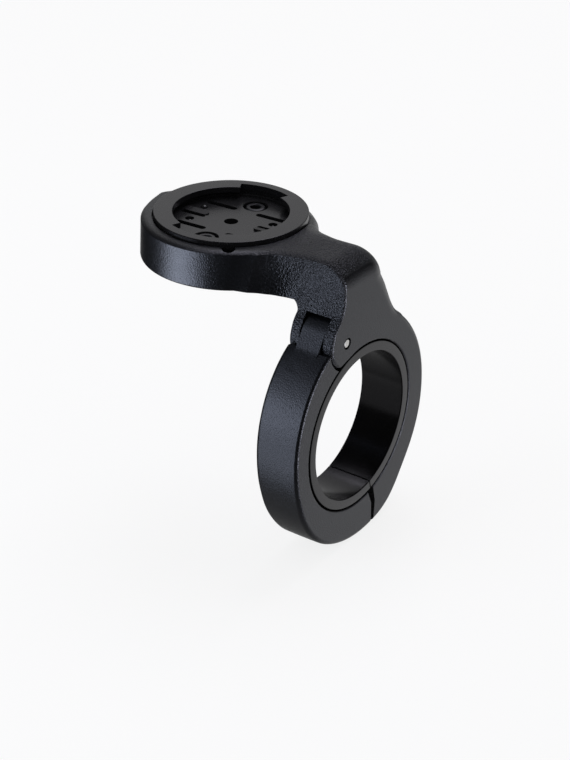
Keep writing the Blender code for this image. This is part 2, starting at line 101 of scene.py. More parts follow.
# Computer receptacle
INSERT_R = 15.72
INSERT_TOP = 38.88
FLANGE_H = 1.65
PLUG_R = 14.3
MOUTH_R = 11.83
TRACK_R = 14.0
INSERT_TURN = 3.5
LIP_H = 1.2
RECESS_H = 2.5
FLOOR_H = 3.0
NOTCH_DEG = 49.0
NOTCH_R = 13.8
SIDE_SLOT_W = 1.4
SIDE_SLOT_Y = 5.75
SIDE_SLOT_IN = 2.4
SIDE_SLOT_OUT = 9.6
MID_SLOT_W = 1.0
MID_SLOT_Y = 0.85
MID_SLOT_IN = 5.8
MID_SLOT_OUT = 11.6
BAR_W = 1.5
BAR_RISE = 0.4
CENTRE_HOLE_R = 1.45
NUB_X = 8.5
NUB_Y = 2.9
NUB_R = 0.75
NUB_H = 0.5
EYE_X = 7.9
EYE_Y = 3.3
EYE_R = 0.95
EYE_DEEP = 0.7
EYE_DOME_H = 0.45
LEDGE_R = 13.2
LEDGE_RISE = 0.45
INSERT_SCREW_Y = 9.15
INSERT_HEAD_R = 2.25
INSERT_HEAD_H = 1.4
INSERT_SHANK_R = 1.0
INSERT_SCREW_L = 3.6
INSERT_PITCH = 0.4
INSERT_THREAD_DEEP = 0.18
INSERT_SOCKET_R = 1.12
RIM_HOLE_R = 1.35
RIM_HOLE_AT = 16.8
RIM_HOLE_DEG = -54.8
RIM_HOLE_DEEP = 3.0

# Hinge
PIN_Y = -6.0
PIN_Z = 21.3
PIN_R = 0.92
EAR_R = 5.15
KNUCKLE_R = 5.2
KNUCKLE_HEEL_R = 3.7
KNUCKLE_W = 5.2
SLOT_W = 5.8

# Clamp screw and nut
SCREW_Y = 5.85
SCREW_Z = -20.8
SCREW_R = 1.5
SCREW_GRIP = 5.0
SCREW_REACH = 6.5
HEAD_R = 2.75
HEAD_H = 3.0
SCREW_PLAIN = 3.0
SCREW_PITCH = 0.5
SCREW_THREAD_DEEP = 0.22
KEY_AF = 2.5
KEY_DEEP = 1.6
NUT_AF = 5.5
NUT_H = 2.4
NUT_AT = 3.6

# Clearances
GAP = 0.3
HINGE_GAP = 0.5
SWING_GAP = 0.45
NUT_GAP = 0.22

LINER_R = BAR_R + LINER_WALL
BORE_R = LINER_R + LINER_GAP
HALF_W = CLAMP_W / 2
SLOT_R = KNUCKLE_R + 0.6
PIN = Vector((0, PIN_Y, PIN_Z))
SCREW_AT = Vector((0, SCREW_Y, SCREW_Z))
SCREW_DIR = Vector((0, -SCREW_Z, SCREW_Y)).normalized()

# Camera that fits the photograph, in metres and degrees
LENS_MM = 85.012
SENSOR_MM = 36.0
CAMERA_AT = (0.17224379, -0.26618909, 0.18380765)
CAMERA_TURN = (61.07206569, -0.79351503, 35.38275756)

# Studio: the floor's height, the even fill, and what gloss sees behind, beside and in front
FLOOR_Z = cad_box[0][2] / MM - 0.02
PAPER_HALF_M = 1.6
PAPER = (0.93, 0.93, 0.93)
FILL = 0.5
MIRROR_BACK_LOW = 0.7
MIRROR_BACK_HIGH = 0.6
MIRROR_SIDE_HIGH = 0.04
MIRROR_FRONT = 0.02
MIRROR_FRONT_FLOOR = 0.2
PAPER_GLOW = 0.82
LAMP_AIM = (-0.01, 0.0, 0.01)
WHITE = (1.0, 1.0, 1.0)
SOFTBOX_WHITE = (0.98, 0.96, 1.05)
CARD_WHITE = (0.96, 0.97, 1.06)
SOFTBOX_BLUE = (0.80, 0.87, 1.0)

# Colours: dark and pale parts of each black plastic, the tint of its gloss, and the steels
NYLON_DARK = (0.0008, 0.0009, 0.0012)
SHELL_PALE = (0.005, 0.0054, 0.0062)
STRAP_PALE = (0.006, 0.0065, 0.0075)
LINER_DARK = (0.001, 0.001, 0.0011)
LINER_PALE = (0.002, 0.002, 0.0022)
RECEPTACLE_DARK = (0.006, 0.006, 0.0068)
RECEPTACLE_PALE = (0.012, 0.012, 0.0134)
COOL_GLOSS = (0.87, 0.89, 1.0)
COOL_SATIN = (0.95, 0.94, 1.0)
BRIGHT_STEEL = (0.80, 0.79, 0.77)
BLACKED_STEEL = (0.075, 0.075, 0.08)

# Place along X, in millimetres, from which the moulding's grain grows coarser, and over how far
COARSE_FROM = -16.0
COARSE_OVER = 10.0

# Ends of the body's half and of the strap's half of the ring, in degrees round the bar
BODY_ARC = (-77.0, 49.35)
STRAP_ARC = (112.0, 291.0)

# Both faces of the lower split, as (y, z)
BODY_SPLIT = [(4.0, -14.0), (5.0, -14.0), (6.75, -21.4), (6.25, -30.0), (-8.0, -30.0), (-8.0, -14.0)]
STRAP_SPLIT = [(3.6, -14.0), (3.0, -16.0), (5.3, -21.2), (5.65, -30.0), (22.0, -30.0), (22.0, -14.0)]

# Height of the leg's foot on the ring, and the climb from there to the bend
LEG_FOOT = 19.0
LEG_CLIMB = 13.3

# Back edge of the leg as the depth y for a height z, and the size of its round
BACK = [
    (17.0, 17.9),
    (18.7, 16.1),
    (21.0, 13.4),
    (24.0, 11.5),
    (27.3, 10.15),
    (29.4, 9.5),
    (32.7, 7.9),
    (35.0, 7.0),
]
BACK_ROUND = [(17.0, 1.9), (21.0, 2.4), (24.0, 2.8), (27.0, 3.3), (29.4, 4.0), (32.5, 4.7), (35.0, 4.9)]

# Rise of the outline over the ring, for an angle round the bar: the body's end, then the strap
BODY_RISE = [
    (-77.0, 2.75),
    (-69.0, 2.9),
    (-62.0, 2.65),
    (-55.0, 1.95),
    (-48.0, 1.2),
    (-40.0, 0.75),
    (-20.0, 0.35),
    (5.0, 0.0),
]
STRAP_RISE = [
    (112.0, -0.2),
    (125.0, -0.3),
    (142.0, -0.8),
    (160.0, -1.4),
    (182.0, -1.75),
    (202.0, -1.4),
    (217.0, -0.5),
    (240.0, 1.0),
    (262.0, 2.05),
    (283.0, 2.75),
    (291.0, 2.8),
]

# Arm sections: place along X, front, back and lean at the top,
# then x, front, back and rise at the underside
ARM = [
    (-2.6, -7.8, 5.95, 1.0, -8.0, -8.35, 8.7, 0.1),
    (-5.0, -8.2, 6.05, 1.05, -9.3, -9.1, 9.1, 0.3),
    (-7.2, -8.75, 6.6, 1.1, -10.4, -10.0, 9.5, 0.6),
    (-9.2, -9.45, 7.2, 1.2, -11.4, -11.0, 10.1, 0.85),
    (-11.2, -10.7, 8.2, 1.3, -12.6, -12.0, 11.0, 1.1),
    (-13.2, -12.3, 9.65, 1.35, -14.0, -13.3, 12.1, 1.3),
]

# Angles the cup's sections fan through, for their front and back corners
CUP_FAN_FRONT = (-52.0, -177.0)
CUP_FAN_BACK = (47.0, 177.0)

# How far the strap's far edge stands inside its near edge, by angle round the bar
FAR_DRAFT = [(112.0, 0.3), (225.0, 0.3), (248.0, -0.25), (266.0, -0.35), (291.0, 0.0)]

# Width of the round on the far edge of the body's ring and of the strap
BODY_SOFT = [(-70.0, 0.95), (0.0, 1.2), (50.0, 1.6)]
STRAP_SOFT = [(112.0, 0.7), (150.0, 0.7), (200.0, 0.95), (240.0, 1.1), (290.0, 1.1)]

# Rounds of the body's and the strap's sections: the front rim as (width, depth), then the inner back edge
RING_CREST = (0.4, 0.3)
ARM_CREST = (1.8, 0.5)
RING_HEEL = 1.1
ARM_HEEL = 1.5
CUP_HEEL = 1.2
STRAP_HEEL = 1.0

# Depth of the bend's edges where the arm begins, and how far each one shifts down to the leg
BEND_BACK_SHIFT = 1.9
BEND_HIDDEN = 8.4
BEND_HIDDEN_SHIFT = 2.1
BEND_FRONT_SHIFT = 0.42
BEND_CORNER = -7.95
BEND_CORNER_SHIFT = -0.8

# How much wider the cup's rim starts on its front side, and how much narrower on its back side
CUP_FRONT_SWELL = 0.65
CUP_BACK_DIP = 0.15

# Height of the crown across the strap, and depth of the hollow in the arm's front wall
STRAP_CROWN = 0.07
ARM_SCOOP = 0.75
ARM_HOLLOW = [(2.6, ARM_SCOOP), (7.0, ARM_SCOOP * 0.8), (13.2, 0.0)]

# Web from the knuckle into the strap: its ends in degrees round the bar, and its rise over the strap
WEB_HIGH = 119.0
WEB_LOW = 133.0
WEB_RISE = [(120.2, 0.3), (121.2, 0.15), (122.4, 0.05), (124.0, 0.0), (127.0, -0.04), (WEB_LOW, -0.1)]

# Cut in the strap's shoulder for the near ear as the strap swings open, as (radius, degrees) round the pin
SWING_ROOM = [
    (5.85, 176.0),
    (5.85, 188.0),
    (5.82, 198.0),
    (5.75, 207.0),
    (5.62, 216.0),
    (5.45, 225.0),
    (4.6, 200.0),
    (4.6, 176.0),
]

# Front edge of the leg above the ears as (y, z), on the near side and on the far side
LEG_FRONT = [
    ((-10.7, 24.6), (-10.45, 24.15)),
    ((-10.05, 25.4), (-10.2, 24.7)),
    ((-9.25, 26.2), (-9.9, 25.2)),
    ((-8.55, 27.0), (-9.6, 25.6)),
    ((-8.0, 27.8), (-9.35, 25.9)),
    ((-7.62, 28.7), (-9.15, 26.1)),
    ((-7.35, 29.8), (-9.0, 26.25)),
    ((-7.22, 31.0), (-8.88, 26.4)),
    ((-7.2, 32.0), (-8.8, 26.55)),
]

# Size of the leg's front round, by the length run along its front edge
LEG_CREST = [(0.0, 0.3), (9.0, 0.5), (15.0, 0.85), (27.0, 0.85), (32.0, 0.42)]

# How much fuller the near ear is than the far one, by angle round the pin
NEAR_EAR = [(-200.0, 0.25), (-170.0, 0.25), (-130.0, 0.1), (-117.0, 0.0)]

# Share of the leg's climb reached at a share of its front edge's length
LEG_PACE = [(0.0, 0.0), (0.38, 0.27), (0.5, 0.36), (0.9, 0.75), (1.0, 1.0)]


class Sock:
    """A node socket that takes part in Python sums."""

    def __init__(self, tree, socket):
        self.tree = tree
        self.socket = socket

    def math(self, operation, *values):
        made = add_node(self.tree, "ShaderNodeMath", {"operation": operation}, dict(enumerate(values)))
        return Sock(self.tree, made.outputs[0])

    def __add__(self, other):
        return self.math("ADD", self, other)

    def __radd__(self, other):
        return self.math("ADD", other, self)

    def __sub__(self, other):
        return self.math("SUBTRACT", self, other)

    def __rsub__(self, other):
        return self.math("SUBTRACT", other, self)

    def __mul__(self, other):
        return self.math("MULTIPLY", self, other)

    def __rmul__(self, other):
        return self.math("MULTIPLY", other, self)

    def __truediv__(self, other):
        return self.math("DIVIDE", self, other)

    def clamp(self, low, high):
        return self.math("MAXIMUM", low, self.math("MINIMUM", high, self))

    def step(self, low, high):
        """0 below the first value, 1 above the second, straight between them."""
        return ((self - low) / (high - low)).clamp(0.0, 1.0)


def feed(tree, value, place):
    """Link a socket to a node's input, or set the input itself."""
    if isinstance(value, Sock):
        tree.links.new(value.socket, place)
    elif isinstance(value, tuple):
        place.default_value = (*value, 1.0)
    else:
        place.default_value = value


def add_node(tree, kind, settings=None, sockets=None):
    """Add a node, set it up, then feed its inputs by name or by number."""
    made = tree.nodes.new(kind)
    for name, value in (settings or {}).items():
        setattr(made, name, value)
    for place, value in (sockets or {}).items():
        feed(tree, value, made.inputs[place])
    return made


class Finish:
    """One material and the nodes that shade it."""

    def __init__(self, name):
        self.material = bpy.data.materials.new(name)
        self.material.use_nodes = True
        self.tree = self.material.node_tree
        self.shader = self.tree.nodes["Principled BSDF"]
        self.place = self.node("ShaderNodeTexCoord")["Object"]

    def node(self, kind, settings=None, **sockets):
        """Add a node to the material. Gives its outputs by name."""
        named = {name.replace("_", " "): value for name, value in sockets.items()}
        made = add_node(self.tree, kind, settings, named)
        return {out.name: Sock(self.tree, out) for out in made.outputs}

    def noise(self, scale, detail=2.0, roughness=0.5):
        sockets = {"Vector": self.place, "Scale": scale, "Detail": detail, "Roughness": roughness}
        return self.node("ShaderNodeTexNoise", **sockets)["Fac"]

    def mix(self, factor, low, high):
        """Colour from low to high by a factor."""
        made = add_node(self.tree, "ShaderNodeMix", {"data_type": "RGBA"}, {0: factor, 6: low, 7: high})
        return Sock(self.tree, made.outputs[2])

    def set(self, **sockets):
        """Feed the shader's own inputs and give the finished material."""
        for name, value in sockets.items():
            feed(self.tree, value, self.shader.inputs[name.replace("_", " ")])
        return self.material

    def bump(self, height, strength, distance_mm):
        sockets = {"Height": height, "Strength": strength, "Distance": distance_mm * MM}
        return self.node("ShaderNodeBump", **sockets)["Normal"]


def moulded(name, dark, pale, sheen, coarse_from=None):
    """Spark-eroded nylon: fine pits, slight mottling and softer gloss in the hollows.

    With a place along X, in millimetres, the pits grow coarser from there on, and the tops of the coarse
    pits are painted paler as glints of light.
    """
    finish = Finish(name)
    pits = finish.noise(3700.0, 1.0, 0.4)
    waves = finish.noise(420.0, 3.0, 0.55)
    drift = finish.noise(45.0, 2.0, 0.5)
    mottle_and_glints = waves.step(0.35, 0.7) * 0.08 + drift * 0.08
    height = pits * 0.6 + waves * 0.03
    gloss = sheen + 0.12 * pits + 0.06 * (drift - 0.5)
    if coarse_from is not None:
        along_x = finish.node("ShaderNodeSeparateXYZ", Vector=finish.place)["X"]
        outward = finish.node("ShaderNodeTexCoord")["Normal"]
        facing = finish.node("ShaderNodeSeparateXYZ", Vector=outward)["X"]
        # The flat sides of the ring, which face along X, keep the fine grain
        flat_sides = (facing * facing).step(0.5, 0.72)
        coarse = along_x.step(coarse_from * MM, (coarse_from + COARSE_OVER) * MM) * (1.0 - flat_sides)
        craters_and_glints = finish.noise(2800.0, 1.5, 0.5)
        # Painted glints: the tops of the coarse craters get a paler colour that stands in for light
        # catching them
        mottle_and_glints = mottle_and_glints + craters_and_glints.step(0.52, 0.7) * coarse * 0.6
        height = height + craters_and_glints * coarse * 4.0
        gloss = gloss + 0.15 * coarse
    return finish.set(
        Base_Color=finish.mix(mottle_and_glints, dark, pale),
        Specular_IOR_Level=0.5,
        Specular_Tint=COOL_GLOSS,
        Roughness=gloss,
        Normal=finish.bump(height, 1.0, 0.1),
    )


def smooth_moulded(name, dark, pale, sheen):
    """Satin moulding with faint flow marks."""
    finish = Finish(name)
    flow = finish.noise(160.0, 4.0, 0.6)
    fine = finish.noise(1900.0, 2.0, 0.5)
    return finish.set(
        Base_Color=finish.mix(flow.step(0.3, 0.7) * 0.6 + fine * 0.4, dark, pale),
        Specular_IOR_Level=0.54,
        Specular_Tint=COOL_SATIN,
        Roughness=sheen + 0.08 * (flow - 0.5) + 0.05 * fine,
        Normal=finish.bump(fine * 0.6 + flow * 0.4, 0.12, 0.04),
    )


def turned_steel(name, colour, sheen):
    """Turned steel with fine rings and a few dull spots."""
    finish = Finish(name)
    along = {"bands_direction": "X"}
    rings = finish.node("ShaderNodeTexWave", along, Vector=finish.place, Scale=900.0, Distortion=1.5)["Fac"]
    dull = finish.noise(900.0, 3.0, 0.6)
    darker = tuple(c * 0.75 for c in colour)
    return finish.set(
        Base_Color=finish.mix(dull.step(0.35, 0.7), darker, colour),
        Metallic=1.0,
        Roughness=sheen + 0.15 * dull.step(0.4, 0.8),
        Normal=finish.bump(rings * 0.5 + dull * 0.5, 0.15, 0.02),
    )


def clean_copy(bm, name):
    """Object made from a bmesh, merged and facing out."""
    bmesh.ops.remove_doubles(bm, verts=bm.verts, dist=JOIN_MM * MM)
    bmesh.ops.recalc_face_normals(bm, faces=bm.faces)
    mesh = bpy.data.meshes.new(name)
    bm.to_mesh(mesh)
    bm.free()
    piece = bpy.data.objects.new(name, mesh)
    bpy.context.scene.collection.objects.link(piece)
    return piece


def loft(name, loops):
    """Closed body through a row of closed loops of points in millimetres."""
    bm = bmesh.new()
    rows = [[bm.verts.new(Vector(p) * MM) for p in loop] for loop in loops]
    count = len(rows[0])
    for near, far in zip(rows, rows[1:]):
        for k in range(count):
            n = (k + 1) % count
            bm.faces.new((near[k], near[n], far[n], far[k]))
    bm.faces.new(rows[0])
    bm.faces.new(rows[-1][::-1])
    return clean_copy(bm, name)


def turned(name, profile, sides, place=None):
    """Body turned about its own Z from (radius, height) in millimetres, then placed by a matrix."""
    bm = bmesh.new()
    rows = []
    for radius, height in profile:
        steps = sides if radius > 0 else 1
        row = []
        for k in range(steps):
            a = 2 * math.pi * k / sides
            row.append(bm.verts.new(Vector((radius * math.cos(a), radius * math.sin(a), height)) * MM))
        rows.append(row)
    for near, far in zip(rows, rows[1:]):
        for k in range(sides):
            n = (k + 1) % sides
            corners = [near[k % len(near)], near[n % len(near)], far[n % len(far)], far[k % len(far)]]
            face = list(dict.fromkeys(corners))
            if len(face) > 2:
                bm.faces.new(face)
    piece = clean_copy(bm, name)
    if place:
        piece.data.transform(place)
    return piece


def rod(name, radius, start, end, sides=64):
    """Round or many-sided bar between two points in millimetres."""
    start, end = Vector(start), Vector(end)
    axis = (end - start).normalized()
    across = axis.orthogonal().normalized() if abs(axis.x) > 0.5 else Vector((1, 0, 0))
    up = axis.cross(across)
    angles = [2 * math.pi * k / sides for k in range(sides)]
    ring = [across * radius * math.cos(a) + up * radius * math.sin(a) for a in angles]
    return loft(name, [[centre + p for p in ring] for centre in (start, end)])


def bar_across(name, points, half):
    """Prism along X over an outline of (y, z) points."""
    return loft(name, [[(x, y, z) for y, z in points] for x in (-half, half)])


def upright(name, points, low, high):
    """Prism along Z over an outline of (x, y) points."""
    return loft(name, [[(x, y, z) for x, y in points] for z in (low, high)])


def carve(piece, tools):
    """Cut or join the tools one after another, keep the result and clear the tools away."""
    for tool, operation in tools:
        step = piece.modifiers.new(tool.name, "BOOLEAN")
        step.object = tool
        step.operation = operation
        step.solver = "EXACT"
    bpy.context.view_layer.update()
    shaped = bpy.data.meshes.new_from_object(piece.evaluated_get(bpy.context.evaluated_depsgraph_get()))
    piece.modifiers.clear()
    piece.data = shaped
    for tool, _ in tools:
        bpy.data.objects.remove(tool, do_unlink=True)
    bm = bmesh.new()
    bm.from_mesh(shaped)
    bmesh.ops.remove_doubles(bm, verts=bm.verts, dist=JOIN_CARVED_MM * MM)
    bm.to_mesh(shaped)
    bm.free()
    return piece


def show(piece, node, finish):
    """Put a finished piece in place of its CAD node."""
    mesh = piece.data
    mesh.materials.clear()
    mesh.materials.append(finish)
    mesh.shade_smooth()
    mesh.set_sharp_from_angle(angle=math.radians(SHARP_DEG))
    even = piece.modifiers.new("even_normals", "WEIGHTED_NORMAL")
    even.keep_sharp = True
    even.weight = 80
    body = next(name for name, held in frame["record"]["behaviour"]["bodies"].items() if node in held)
    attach(piece, body)
    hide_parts(node)


def ease(table, at):
    """Smooth value at a place in a table of (place, value) rows."""
    places = [row[0] for row in table]
    if at <= places[0]:
        return table[0][1]
    if at >= places[-1]:
        return table[-1][1]
    i = max(k for k in range(len(places) - 1) if places[k] <= at)
    slope = [0.0] * len(table)
    for k in range(1, len(table) - 1):
        slope[k] = (table[k + 1][1] - table[k - 1][1]) / (places[k + 1] - places[k - 1])
    width = places[i + 1] - places[i]
    t = (at - places[i]) / width
    held = table[i][1] * (1 + 2 * t) * (1 - t) ** 2 + table[i + 1][1] * t * t * (3 - 2 * t)
    return held + width * t * (1 - t) * (slope[i] * (1 - t) - slope[i + 1] * t)


def spread(start, end, steps):
    """Evenly spaced values with both ends kept."""
    return [start + (end - start) * k / steps for k in range(steps + 1)]


def ring_point(radius, degrees, x=0.0):
    """Point at a radius and an angle in the plane across X."""
    a = math.radians(degrees)
    return Vector((x, radius * math.cos(a), radius * math.sin(a)))


def section(fo, bo, bi, fi, crest, bull, heel, lean=1.0, crown=0.0, scoop=0.0):
    """Rounded four-sided section from its front and back corners on the outer and inner faces.

    Crest is the width and depth of the front rim's round, bull the size of the back rim's and heel
    that of the inner back edge's. Lean widens the back rim's round, crown swells the back face and
    scoop hollows the front face.
    """
    fo, bo, bi, fi = Vector(fo), Vector(bo), Vector(bi), Vector(fi)
    depth = (fo - bo).length
    thick = ((fo - fi).length + (bo - bi).length) / 2
    wide, drop = min(crest[0], depth * 0.3), min(crest[1], thick * 0.3)
    deep = min(bull, thick * 0.6)
    bull = min(bull * lean, depth * 0.42)
    heel = min(heel, depth * 0.3, thick * 0.35)
    # The front rim is a round where it is as wide as deep, and opens into a shallow crest
    open_up = min(max((wide / drop - 1) / 1.5, 0.0), 1.0)
    flat = []
    for t in (0.0, 0.06, 0.17, 0.35, 0.6, 1.0):
        fall = (1 - math.sqrt(1 - (1 - t) ** 2)) * (1 - open_up) + (1 - t) ** 2 * open_up
        flat.append((wide * t, thick - drop * fall))
    for a in spread(math.pi / 2, 0.0, 14):
        flat.append((depth - bull * (1 - math.cos(a)), thick - deep * (1 - math.sin(a))))
    bull_end = len(flat) - 1
    for a in spread(0.0, -math.pi / 2, 6):
        flat.append((depth - heel * (1 - math.cos(a)), heel * (1 + math.sin(a))))
    toe = min(0.4, depth * 0.1)
    for a in spread(0.0, math.pi / 2, 4):
        flat.append((toe * (1 - math.sin(a)), toe * (1 - math.cos(a))))
    # Points up the front face, hollowed in a shallow arch
    for t in (0.14, 0.28, 0.43, 0.57, 0.72, 0.86):
        flat.append((scoop * (1 - (2 * t - 1) ** 2), toe + (thick - drop - toe) * t))
    if crown:
        # Points along the back face, pushed out in a shallow arch
        rise = [thick * (0.1 + 0.8 * t) for t in (0.9, 0.75, 0.6, 0.45, 0.3, 0.15)]
        flat = flat[:bull_end] + [(depth, h) for h in rise] + flat[bull_end + 1:]
        arch = [crown * max(0.0, 1 - (2 * h / thick - 1) ** 2) for _, h in flat]
        flat = [(s + out if s > depth * 0.5 else s, h) for (s, h), out in zip(flat, arch)]
    loop = []
    for s, h in flat:
        outer = fo.lerp(bo, s / depth)
        inner = fi.lerp(bi, s / depth)
        loop.append(inner.lerp(outer, h / thick))
    return loop


def body_sections():
    """Sections from the lower split, up the ring and the leg, round the bend and across the cup."""
    side = Vector((HALF_W, 0, 0))
    rows = []
    for a in spread(*BODY_ARC, 52):
        near = ring_point(BORE_R, a)
        far = ring_point(RING_R + ease(BODY_RISE, a), a)
        rows.append((near, far, far, near, RING_CREST, ease(BODY_SOFT, a), RING_HEEL))
    # Leg: the front runs up the bore, round the ear and up to the bend
    edge = [(ring_point(BORE_R, a),) * 2 for a in spread(58.0, 102.0, 8)]
    for a in spread(-117.0, -200.0, 14):
        edge.append((PIN + ring_point(EAR_R + ease(NEAR_EAR, a), a), PIN + ring_point(EAR_R, a)))
    for near, far in LEG_FRONT:
        edge.append((Vector((0, *near)), Vector((0, *far))))
    length = [0.0]
    for (_, last), (_, here) in zip(edge, edge[1:]):
        length.append(length[-1] + max((here - last).length, 0.15))
    for (front, inner), so_far in zip(edge, length):
        t = ease(LEG_PACE, so_far / length[-1])
        top = LEG_FOOT + LEG_CLIMB * (1 - (1 - t) ** 1.5)
        under = LEG_FOOT + (ARM_UNDER - CORNER_R - LEG_FOOT - 0.1) * (1 - (1 - t) ** 2)
        back = Vector((0, ease(BACK, top), top))
        hidden = Vector((0, ease(BACK, under), under))
        crest = ease(LEG_CREST, so_far)
        rows.append((front, back, hidden, inner, (crest, crest), ease(BACK_ROUND, top), ARM_HEEL))
    loops = []
    for fo, bo, bi, fi, crest, bull, heel in rows:
        loops.append(section(fo + side, bo + side, bi - side, fi - side, crest, bull, heel))
    # Bend
    hub_x, hub_z = HALF_W - BEND_R, BEND_TOP - BEND_R
    in_x, in_z = -HALF_W - CORNER_R, ARM_UNDER - CORNER_R
    for a in spread(0.0, math.pi / 2, 22):
        ox, oz = hub_x + BEND_R * math.cos(a), hub_z + BEND_R * math.sin(a)
        ix, iz = in_x + CORNER_R * math.cos(a), in_z + CORNER_R * math.sin(a)
        back = ARM_BACK + BEND_BACK_SHIFT * (1 - math.sin(a)) ** 0.85
        hidden = BEND_HIDDEN + BEND_HIDDEN_SHIFT * (1 - math.sin(a))
        front = (ox, -ARM_FRONT + BEND_FRONT_SHIFT * math.cos(a) ** 3, oz)
        corner = (ix, BEND_CORNER + BEND_CORNER_SHIFT * math.cos(a), iz)
        crest = (0.4 + 1.2 * math.sin(a), 0.4 + 0.1 * math.sin(a))
        scoop = ARM_SCOOP * math.sin(a)
        corners = (front, (ox, back, oz), (ix, hidden, iz), corner)
        loops.append(section(*corners, crest, BULL_R, ARM_HEEL, scoop=scoop))
    # Arm, widening on both sides into the cup
    for at in spread(ARM[0][0], ARM[-1][0], 18):
        values = [ease([(-row[0], row[k]) for row in ARM], -at) for k in range(1, 8)]
        front, back, lean, ix, low_front, low_back, rise = values
        under = ARM_UNDER + rise
        fo, bo = (at, front, BEND_TOP), (at, back, BEND_TOP)
        bi, fi = (ix, low_back, under), (ix, low_front, under)
        scoop = ease(ARM_HOLLOW, -at)
        loops.append(section(fo, bo, bi, fi, ARM_CREST, BULL_R, ARM_HEEL, lean, scoop=scoop))
    # Cup, in sections that fan round to its far end
    for t in spread(0.0, 1.0, 48):
        swing = math.sin(t * math.pi / 2) ** 1.15
        front, back = [start + (end - start) * swing for start, end in (CUP_FAN_FRONT, CUP_FAN_BACK)]
        high_front = CUP_R + CUP_FRONT_SWELL * (1 - t) ** 1.5
        high_back = CUP_R - CUP_BACK_DIP + 2 * CUP_BACK_DIP * t
        low = CUP_R + CUP_FLARE
        outline = (
            (high_front, front, BEND_TOP),
            (high_back, back, BEND_TOP),
            (low, back, CUP_UNDER),
            (low, front, CUP_UNDER),
        )
        corners = []
        for radius, a, z in outline:
            r = math.radians(a)
            corners.append(Vector((CUP_X + radius * math.cos(r), radius * math.sin(r), z)))
        across = (corners[1] - corners[0]).normalized()
        square = across.x * math.cos(math.radians(back)) + across.y * math.sin(math.radians(back))
        bull = BULL_R * (1 - 0.8 * t**3)
        loops.append(section(*corners, ARM_CREST, bull, CUP_HEEL, 1 / max(square, 0.45)))
    return loops


def insert_screw_spot(side):
    """Centre of one receptacle screw, turned with the receptacle."""
    a = math.radians(90.0 * side + INSERT_TURN)
    return CUP_X + INSERT_SCREW_Y * math.cos(a), INSERT_SCREW_Y * math.sin(a)


def make_body():
    """Body moulding with its slot, split, pockets and holes."""
    body = loft("mount_moulding", body_sections())
    reach = Vector((CLAMP_W, 0, 0))
    half = SLOT_W / 2
    front = PIN_Y - EAR_R - PAST
    low, high = PIN_Z - SLOT_R, PIN_Z + SLOT_R
    mouth = [(PIN_Y, low), (front, low), (front, high), (PIN_Y, high)]
    top = BEND_TOP + PAST
    seat = INSERT_TOP - FLANGE_H - GAP
    floor = INSERT_TOP - RECESS_H - FLOOR_H - GAP
    a = math.radians(RIM_HOLE_DEG)
    hx, hy = CUP_X + RIM_HOLE_AT * math.cos(a), RIM_HOLE_AT * math.sin(a)
    hole_end = SCREW_AT + SCREW_DIR * 16
    nut_corner = (NUT_AF / 2 + NUT_GAP) / math.cos(math.pi / 6)
    tools = [
        rod("slot_round", SLOT_R, PIN - Vector((half, 0, 0)), PIN + Vector((half, 0, 0)), 112),
        bar_across("slot_mouth", mouth, half),
        rod("pin_hole", PIN_R + GAP, PIN - reach, PIN + reach, 40),
        bar_across("split", BODY_SPLIT, CLAMP_W),
        rod("flange_seat", INSERT_R + GAP, (CUP_X, 0, seat), (CUP_X, 0, top), 144),
        rod("plug_pocket", PLUG_R + GAP, (CUP_X, 0, floor), (CUP_X, 0, top), 144),
        rod("rim_hole", RIM_HOLE_R, (hx, hy, BEND_TOP - RIM_HOLE_DEEP), (hx, hy, top), 40),
        rod("swing_hole", SCREW_R + SWING_GAP, SCREW_AT - SCREW_DIR * 6, hole_end, 40),
        rod("nut_pocket", nut_corner, SCREW_AT + SCREW_DIR * (NUT_AT - GAP), hole_end, 6),
    ]
    for side in (-1, 1):
        x, y = insert_screw_spot(side)
        deep = INSERT_TOP - RECESS_H - INSERT_HEAD_H - INSERT_SCREW_L - 2 * GAP
        tools.append(rod("pilot", INSERT_SHANK_R + GAP, (x, y, deep), (x, y, top), 32))
    return carve(body, [(tool, "DIFFERENCE") for tool in tools])


